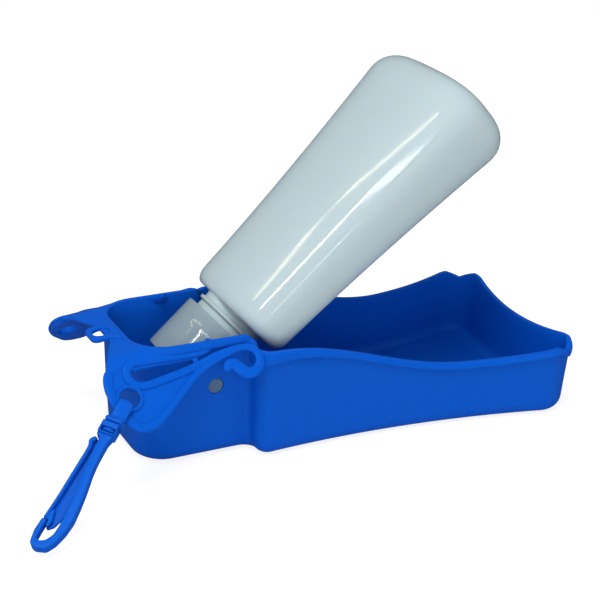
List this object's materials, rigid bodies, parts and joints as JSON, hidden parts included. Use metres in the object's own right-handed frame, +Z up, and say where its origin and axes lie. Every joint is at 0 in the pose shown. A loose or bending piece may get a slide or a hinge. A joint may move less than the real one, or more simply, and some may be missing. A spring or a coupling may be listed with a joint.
{
  "type": "travel pet water bottle",
  "caption": "Squeeze bottle on a pivoting screw cap that folds into its own drinking tray, with belt clips on both sides and a snap hook.",
  "frame": {"origin": "on the flat underside of the tray, on its centre line, where the narrow head meets the bowl", "axes": "+X runs along the tray from the head to the wide end of the bowl, +Z is up, and Y runs across the tray"},
  "size_m": [0.301, 0.1426, 0.1744],
  "materials": {
    "tray_plastic": "smooth blue moulding, satin gloss",
    "hook_plastic": "smooth blue moulding, satin gloss",
    "cap_plastic": "translucent grey, smooth",
    "bottle_plastic": "milky translucent pale blue, soft gloss",
    "silicone": "soft translucent silicone"
  },
  "bodies": {
    "tray": {"tray": "tray_plastic"},
    "near_clip": {"near_clip_arm": "tray_plastic"},
    "far_clip": {"far_clip_arm": "tray_plastic"},
    "bottle": {"screw_cap": "cap_plastic", "outlet_valve": "silicone", "sealing_washer": "silicone", "bottle": "bottle_plastic"},
    "eye": {"swivel_eye": "hook_plastic"},
    "hook": {"snap_hook": "hook_plastic"},
    "gate": {"hook_gate": "hook_plastic"}
  },
  "joints": [
    {"name": "bottle_swing", "type": "hinge", "parent": "tray", "child": "bottle", "pos_m": [-0.0312, 0, 0.0374], "axis": [0, -1, 0], "range_deg": [-41.9, 53.1]},
    {"name": "near_clip_flex", "type": "hinge", "parent": "tray", "child": "near_clip", "pos_m": [-0.0417, -0.03598, 0.05359], "axis": [0, -0.7193, -0.6947], "range_deg": [0, 8], "stiffness_Nm_per_rad": 1.2},
    {"name": "far_clip_flex", "type": "hinge", "parent": "tray", "child": "far_clip", "pos_m": [-0.0417, 0.03598, 0.05359], "axis": [0, -0.7193, 0.6947], "range_deg": [0, 8], "stiffness_Nm_per_rad": 1.2},
    {"name": "hook_swing", "type": "hinge", "parent": "tray", "child": "eye", "pos_m": [-0.0848, -0.04542, 0.04155], "axis": [-0.7314, 0.4906, 0.4738], "range_deg": [-35, 35]},
    {"name": "hook_swivel", "type": "hinge", "parent": "eye", "child": "hook", "pos_m": [-0.0908, -0.05009, 0.03713], "axis": [-0.682, -0.5309, -0.503], "continuous": true},
    {"name": "gate_press", "type": "hinge", "parent": "hook", "child": "gate", "pos_m": [-0.09891, -0.05193, 0.03356], "axis": [-0.2696, -0.4569, 0.8477], "range_deg": [0, 5], "stiffness_Nm_per_rad": 0.4}
  ]
}
